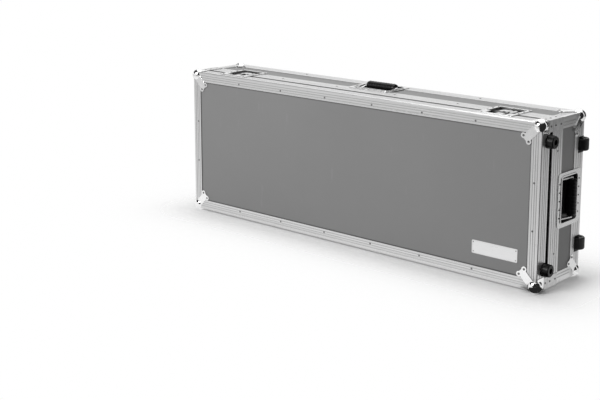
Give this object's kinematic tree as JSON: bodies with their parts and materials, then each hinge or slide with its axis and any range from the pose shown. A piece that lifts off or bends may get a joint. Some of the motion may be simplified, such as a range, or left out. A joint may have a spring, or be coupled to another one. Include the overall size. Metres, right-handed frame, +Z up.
{
  "type": "pedalboard flight case",
  "caption": "Shallow flight case standing on a long side: laminated panels in grooved aluminium edging, hinged lid, ball corners, recessed turn latches and handles, feet and edge wheels.",
  "frame": {"origin": "middle of the bottom of the overall box, on the floor that the lower ball corners stand on", "axes": "+X along the case towards the end with the feet and wheels, +Y from the lid to the back, +Z up"},
  "size_m": [1.377, 0.2522, 0.4925],
  "materials": {
    "edging": "satin extruded aluminium, grooved along its length",
    "panel": "grey textured laminate on plywood",
    "foam": "open-cell black foam",
    "ball_chrome": "bright chrome plate on pressed steel",
    "zinc_steel": "bright zinc plate",
    "rubber": "matte black rubber",
    "wheel_rubber": "hard black rubber",
    "black_plastic": "black moulded plastic",
    "pressed_plate": "bright chrome plate on pressed steel",
    "rod_steel": "bright zinc plate",
    "latch_chrome": "bright chrome plate"
  },
  "bodies": {
    "base": {"base_rear_panel": "panel", "base_top_panel": "panel", "base_bottom_panel": "panel", "base_left_panel": "panel", "base_right_panel": "panel", "base_closure_top": "edging", "base_closure_bottom": "edging", "base_closure_left": "edging", "base_closure_right": "edging", "rear_edge_top": "edging", "rear_edge_bottom": "edging", "rear_edge_left": "edging", "rear_edge_right": "edging", "base_corner_edges": "edging", "base_ball_corners": "ball_chrome", "base_corner_braces": "zinc_steel", "seal": "rubber", "base_floor_foam": "foam", "base_wall_foam": "foam", "rear_feet": "rubber", "hinge_base_leaves": "zinc_steel", "hinge_pins": "zinc_steel", "wheel_housings": "black_plastic", "wheel_axles": "zinc_steel", "latch_bridges": "pressed_plate", "handle_top_dish": "pressed_plate", "handle_left_dish": "pressed_plate", "handle_right_dish": "pressed_plate", "latch_left_dish": "pressed_plate", "latch_right_dish": "pressed_plate"},
    "lid": {"lid_front_panel": "panel", "lid_edge_top": "edging", "lid_edge_bottom": "edging", "lid_edge_left": "edging", "lid_edge_right": "edging", "lid_foam": "foam", "lid_ball_corners": "ball_chrome", "lid_corner_braces": "zinc_steel", "end_feet": "rubber", "hinge_lid_leaves": "zinc_steel", "latch_catches": "pressed_plate"},
    "handle_top_bow": {"handle_top_bail": "rod_steel", "handle_top_grip": "rubber"},
    "handle_left_bow": {"handle_left_bail": "rod_steel", "handle_left_grip": "rubber"},
    "handle_right_bow": {"handle_right_bail": "rod_steel", "handle_right_grip": "rubber"},
    "wheel_upper": {"wheel_upper_tyre": "wheel_rubber", "wheel_upper_hub": "black_plastic"},
    "wheel_lower": {"wheel_lower_tyre": "wheel_rubber", "wheel_lower_hub": "black_plastic"},
    "latch_left_key": {"latch_left_spindle": "latch_chrome"},
    "latch_left_hook": {"latch_left_hook": "rod_steel"},
    "latch_left_wing_inner": {"latch_left_wing_inner": "latch_chrome"},
    "latch_left_wing_outer": {"latch_left_wing_outer": "latch_chrome"},
    "latch_right_key": {"latch_right_spindle": "latch_chrome"},
    "latch_right_hook": {"latch_right_hook": "rod_steel"},
    "latch_right_wing_inner": {"latch_right_wing_inner": "latch_chrome"},
    "latch_right_wing_outer": {"latch_right_wing_outer": "latch_chrome"}
  },
  "joints": [
    {"name": "lid_hinge", "type": "hinge", "parent": "base", "child": "lid", "pos_m": [-0.0035, -0.0671, 0.0045], "axis": [1, 0, 0], "range_deg": [0, 100]},
    {"name": "handle_top_lift", "type": "hinge", "parent": "base", "child": "handle_top_bow", "pos_m": [-0.0035, 0.0039, 0.4705], "axis": [1, 0, 0], "range_deg": [0, 90], "stiffness_Nm_per_rad": 0.3, "springref_deg": -20.05},
    {"name": "handle_left_lift", "type": "hinge", "parent": "base", "child": "handle_left_bow", "pos_m": [-0.6665, 0.0039, 0.2425], "axis": [0, 0, 1], "range_deg": [0, 90], "stiffness_Nm_per_rad": 0.3, "springref_deg": -20.05},
    {"name": "handle_right_lift", "type": "hinge", "parent": "base", "child": "handle_right_bow", "pos_m": [0.6595, 0.0039, 0.2425], "axis": [0, 0, -1], "range_deg": [0, 90], "stiffness_Nm_per_rad": 0.3, "springref_deg": -20.05},
    {"name": "wheel_upper_spin", "type": "hinge", "parent": "base", "child": "wheel_upper", "pos_m": [0.6615, 0.1009, 0.3855], "axis": [0, 0, 1], "continuous": true},
    {"name": "wheel_lower_spin", "type": "hinge", "parent": "base", "child": "wheel_lower", "pos_m": [0.6615, 0.1009, 0.0995], "axis": [0, 0, 1], "continuous": true},
    {"name": "latch_left_turn", "type": "hinge", "parent": "base", "child": "latch_left_key", "pos_m": [-0.5085, -0.0261, 0.4735], "axis": [0, 0, 1], "range_deg": [0, 180]},
    {"name": "latch_left_draw", "type": "slide", "parent": "base", "child": "latch_left_hook", "axis": [0, 0.9191, -0.3939], "range_m": [0, 0.00762]},
    {"name": "latch_left_fold_inner", "type": "hinge", "parent": "latch_left_key", "child": "latch_left_wing_inner", "pos_m": [-0.5008, -0.0261, 0.4744], "axis": [0, -1, 0], "range_deg": [0, 90]},
    {"name": "latch_left_fold_outer", "type": "hinge", "parent": "latch_left_key", "child": "latch_left_wing_outer", "pos_m": [-0.5162, -0.0261, 0.4744], "axis": [0, 1, 0], "range_deg": [0, 90]},
    {"name": "latch_right_turn", "type": "hinge", "parent": "base", "child": "latch_right_key", "pos_m": [0.5015, -0.0261, 0.4735], "axis": [0, 0, 1], "range_deg": [0, 180]},
    {"name": "latch_right_draw", "type": "slide", "parent": "base", "child": "latch_right_hook", "axis": [0, 0.9191, -0.3939], "range_m": [0, 0.00762]},
    {"name": "latch_right_fold_inner", "type": "hinge", "parent": "latch_right_key", "child": "latch_right_wing_inner", "pos_m": [0.4938, -0.0261, 0.4744], "axis": [0, 1, 0], "range_deg": [0, 90]},
    {"name": "latch_right_fold_outer", "type": "hinge", "parent": "latch_right_key", "child": "latch_right_wing_outer", "pos_m": [0.5092, -0.0261, 0.4744], "axis": [0, -1, 0], "range_deg": [0, 90]}
  ],
  "couplings": [
    {"joint": "latch_left_turn", "follows": "latch_left_draw", "rad_per_m": 412.5},
    {"joint": "latch_right_turn", "follows": "latch_right_draw", "rad_per_m": 412.5}
  ]
}
